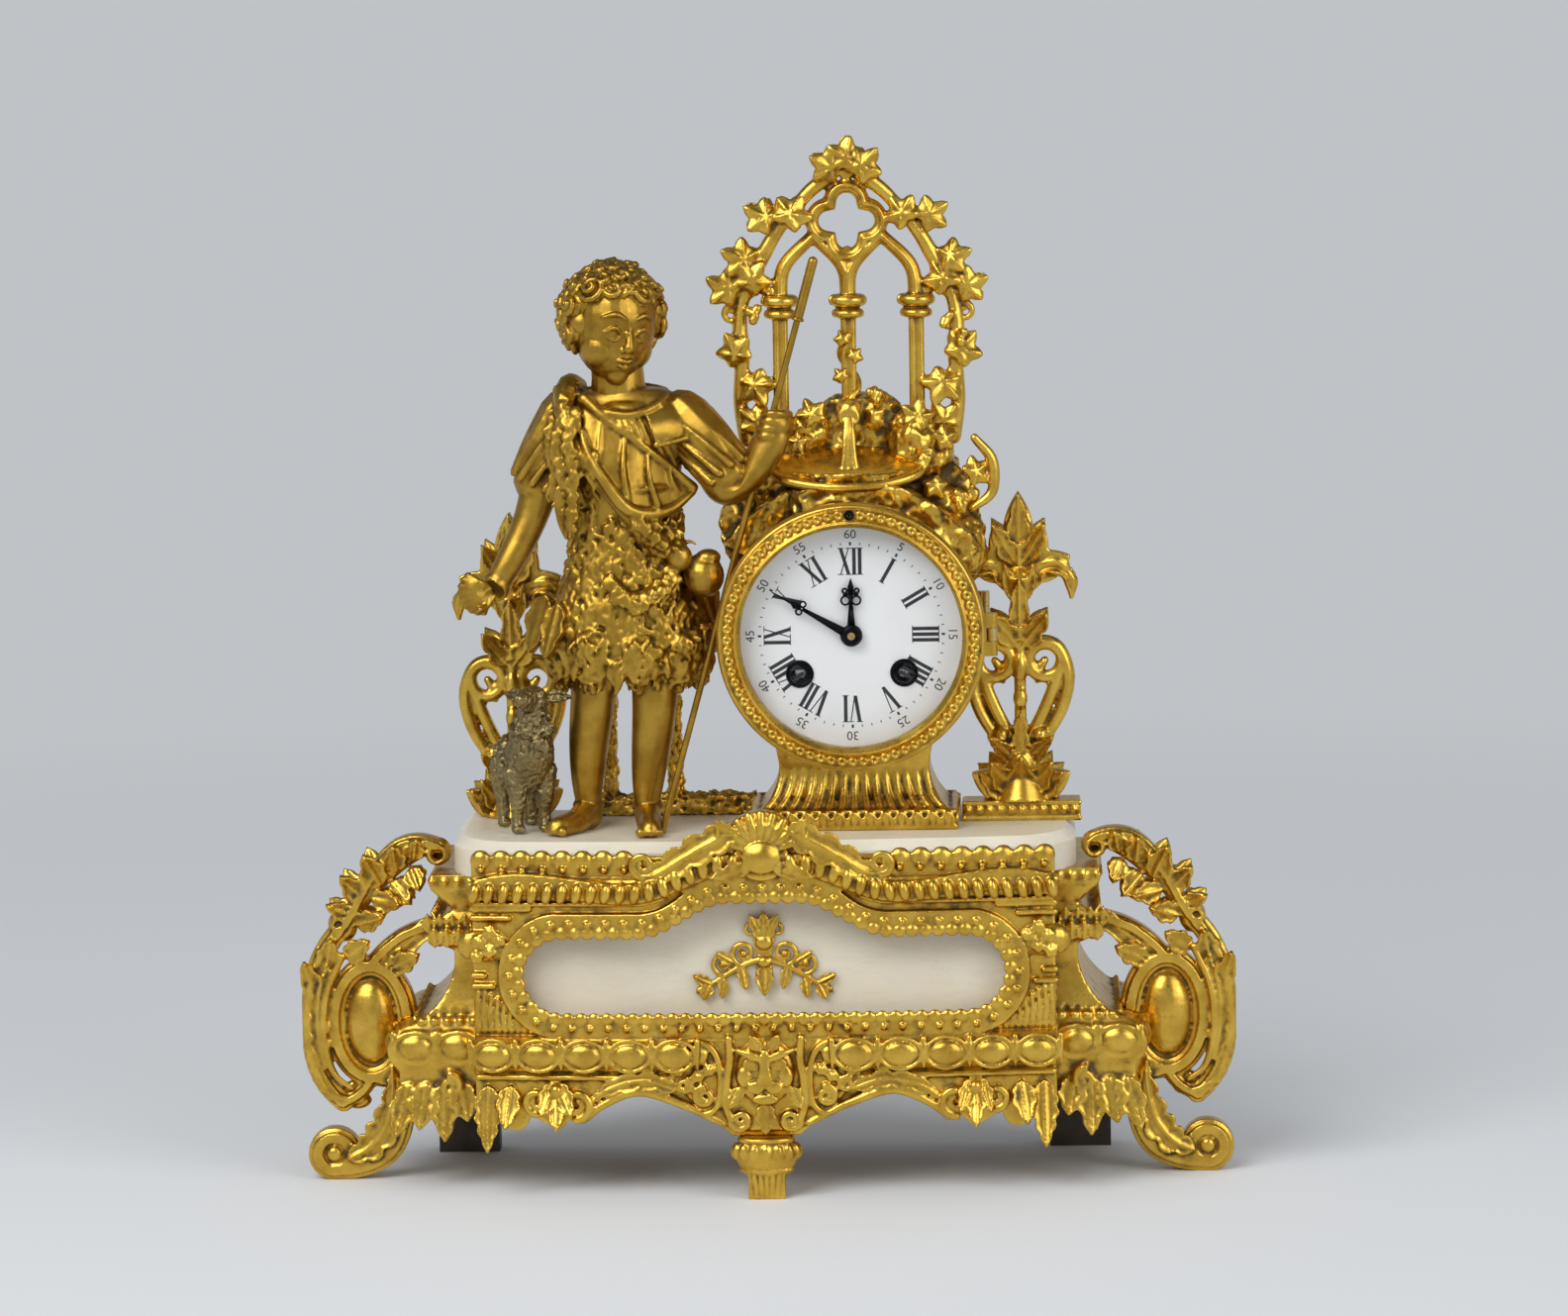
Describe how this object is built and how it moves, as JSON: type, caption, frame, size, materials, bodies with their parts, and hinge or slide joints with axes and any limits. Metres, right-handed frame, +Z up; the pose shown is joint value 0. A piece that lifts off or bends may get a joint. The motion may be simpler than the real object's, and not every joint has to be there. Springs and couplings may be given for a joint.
{
  "type": "figural mantel clock",
  "caption": "Gilt figural mantel clock: standing child with staff and lamb beside a round drum movement under a gothic arch, on an alabaster-topped scroll base.",
  "frame": {"origin": "centre of the base footprint on the table, at the bottom of the feet", "axes": "+Z up, -Y out of the dial towards the viewer, +X to the viewer's right"},
  "size_m": [0.3328, 0.1014, 0.369],
  "materials": {
    "gilt_bronze": "fire-gilt cast metal with dark patina in the hollows",
    "olive_gilt": "darker, worn gilding",
    "pewter": "grey silvered cast metal",
    "alabaster": "honed milky stone",
    "dark_iron": "dark, unfinished",
    "enamel": "white vitreous enamel",
    "black_hands": "blackened steel",
    "clear_glass": "clear domed glass",
    "bell_metal": "turned bell metal",
    "steel": "polished and blued steel",
    "brass_work": "lacquered clockwork brass"
  },
  "bodies": {
    "case": {"base_body": "gilt_bronze", "front_casting": "gilt_bronze", "alabaster_panel": "alabaster", "panel_mount": "gilt_bronze", "front_foot": "gilt_bronze", "rear_feet": "dark_iron", "scroll_bracket_right": "gilt_bronze", "scroll_bracket_left": "gilt_bronze", "alabaster_plinth": "alabaster", "tie_rods": "steel", "tie_nuts": "steel", "pedestal": "gilt_bronze", "drum_case": "gilt_bronze", "rock_fountain": "gilt_bronze", "gothic_arch": "gilt_bronze", "flanker_right": "gilt_bronze", "flanker_left": "gilt_bronze", "boy_figure": "olive_gilt", "staff": "olive_gilt", "lamb": "pewter", "rustic_support": "gilt_bronze", "front_collar": "brass_work", "dial": "enamel", "front_plate": "brass_work", "back_plate": "brass_work", "plate_pillars": "brass_work", "clicks": "steel", "straps": "brass_work", "strap_screws": "steel", "rear_collar": "brass_work", "bell_stand": "brass_work", "bell": "bell_metal", "suspension_cock": "steel", "bezel_hinge_pin": "steel", "rear_hinge_pin": "steel"},
    "bezel_door": {"front_bezel": "gilt_bronze", "front_glass": "clear_glass"},
    "rear_cover": {"rear_door": "brass_work"},
    "minute_group": {"minute_hand": "black_hands", "cannon_pinion": "brass_work", "centre_wheel": "brass_work"},
    "hour_group": {"hour_hand": "black_hands", "hour_wheel": "brass_work"},
    "minute_wheel_body": {"minute_wheel": "brass_work"},
    "third": {"third_wheel": "brass_work"},
    "escape": {"escape_wheel": "brass_work"},
    "pallet_body": {"pallets": "steel"},
    "pendulum_body": {"pendulum": "brass_work"},
    "going_barrel_body": {"going_barrel": "brass_work", "going_mainspring": "steel"},
    "going_arbor_body": {"going_arbor": "steel"},
    "going_second": {"going_second_wheel": "brass_work"},
    "strike_barrel_body": {"strike_barrel": "brass_work", "strike_mainspring": "steel"},
    "strike_arbor_body": {"strike_arbor": "steel"},
    "strike_second": {"strike_second_wheel": "brass_work"},
    "pin": {"pin_wheel": "brass_work"},
    "lock": {"lock_wheel": "brass_work"},
    "fly_body": {"fly": "brass_work"},
    "hammer_body": {"hammer": "steel"}
  },
  "joints": [
    {"name": "bezel_hinge", "type": "hinge", "parent": "case", "child": "bezel_door", "pos_m": [0.0813, -0.0218, 0.195], "axis": [0, 0, 1], "range_deg": [0, 110]},
    {"name": "rear_door_hinge", "type": "hinge", "parent": "case", "child": "rear_cover", "pos_m": [0.0787, 0.0438, 0.195], "axis": [0, 0, -1], "range_deg": [0, 110]},
    {"name": "minute_spin", "type": "hinge", "parent": "case", "child": "minute_group", "pos_m": [0.032, 0, 0.195], "axis": [0, 1, 0], "continuous": true},
    {"name": "hour_spin", "type": "hinge", "parent": "case", "child": "hour_group", "pos_m": [0.032, 0, 0.195], "axis": [0, 1, 0], "continuous": true},
    {"name": "minute_wheel_spin", "type": "hinge", "parent": "case", "child": "minute_wheel_body", "pos_m": [0.032, 0, 0.203], "axis": [0, 1, 0], "continuous": true},
    {"name": "third_spin", "type": "hinge", "parent": "case", "child": "third", "pos_m": [0.032, 0, 0.2067], "axis": [0, 1, 0], "continuous": true},
    {"name": "escape_spin", "type": "hinge", "parent": "case", "child": "escape", "pos_m": [0.032, 0, 0.21762], "axis": [0, 1, 0], "continuous": true},
    {"name": "going_second_spin", "type": "hinge", "parent": "case", "child": "going_second", "pos_m": [0.04344, 0, 0.20029], "axis": [0, 1, 0], "continuous": true},
    {"name": "going_barrel_spin", "type": "hinge", "parent": "case", "child": "going_barrel_body", "pos_m": [0.0503, 0, 0.1815], "axis": [0, 1, 0], "continuous": true},
    {"name": "going_wind", "type": "hinge", "parent": "case", "child": "going_arbor_body", "pos_m": [0.0503, 0, 0.1815], "axis": [0, 1, 0], "continuous": true},
    {"name": "pendulum_swing", "type": "hinge", "parent": "case", "child": "pendulum_body", "pos_m": [0.032, 0, 0.22652], "axis": [0, 1, 0], "range_deg": [-4, 4]},
    {"name": "pallet_rock", "type": "hinge", "parent": "case", "child": "pallet_body", "pos_m": [0.032, 0, 0.22652], "axis": [0, 1, 0], "range_deg": [-4, 4]},
    {"name": "pin_spin", "type": "hinge", "parent": "case", "child": "pin", "pos_m": [0.0137, 0, 0.2122], "axis": [0, 1, 0], "continuous": true},
    {"name": "strike_second_spin", "type": "hinge", "parent": "case", "child": "strike_second", "pos_m": [0.01903, 0, 0.20078], "axis": [0, 1, 0], "continuous": true},
    {"name": "strike_barrel_spin", "type": "hinge", "parent": "case", "child": "strike_barrel_body", "pos_m": [0.0137, 0, 0.1815], "axis": [0, 1, 0], "continuous": true},
    {"name": "strike_wind", "type": "hinge", "parent": "case", "child": "strike_arbor_body", "pos_m": [0.0137, 0, 0.1815], "axis": [0, 1, 0], "continuous": true},
    {"name": "lock_spin", "type": "hinge", "parent": "case", "child": "lock", "pos_m": [0.0188, 0, 0.22103], "axis": [0, 1, 0], "continuous": true},
    {"name": "fly_spin", "type": "hinge", "parent": "case", "child": "fly_body", "pos_m": [0.0128, 0, 0.2245], "axis": [0, 1, 0], "continuous": true},
    {"name": "hammer_lift", "type": "hinge", "parent": "case", "child": "hammer_body", "pos_m": [0.003, 0, 0.203], "axis": [0, 1, 0], "range_deg": [0, 12], "stiffness_Nm_per_rad": 0.01}
  ],
  "couplings": [
    {"joint": "hour_spin", "follows": "minute_spin", "ratio": 0.083333},
    {"joint": "minute_wheel_spin", "follows": "minute_spin", "ratio": -0.33333},
    {"joint": "third_spin", "follows": "minute_spin", "ratio": -12},
    {"joint": "escape_spin", "follows": "minute_spin", "ratio": 144},
    {"joint": "going_second_spin", "follows": "minute_spin", "ratio": -0.16667},
    {"joint": "going_barrel_spin", "follows": "minute_spin", "ratio": 0.027778},
    {"joint": "pallet_rock", "follows": "pendulum_swing", "ratio": 1},
    {"joint": "strike_second_spin", "follows": "pin_spin", "ratio": -0.16667},
    {"joint": "strike_barrel_spin", "follows": "pin_spin", "ratio": 0.027778},
    {"joint": "lock_spin", "follows": "pin_spin", "ratio": -7.5},
    {"joint": "fly_spin", "follows": "pin_spin", "ratio": 60}
  ]
}
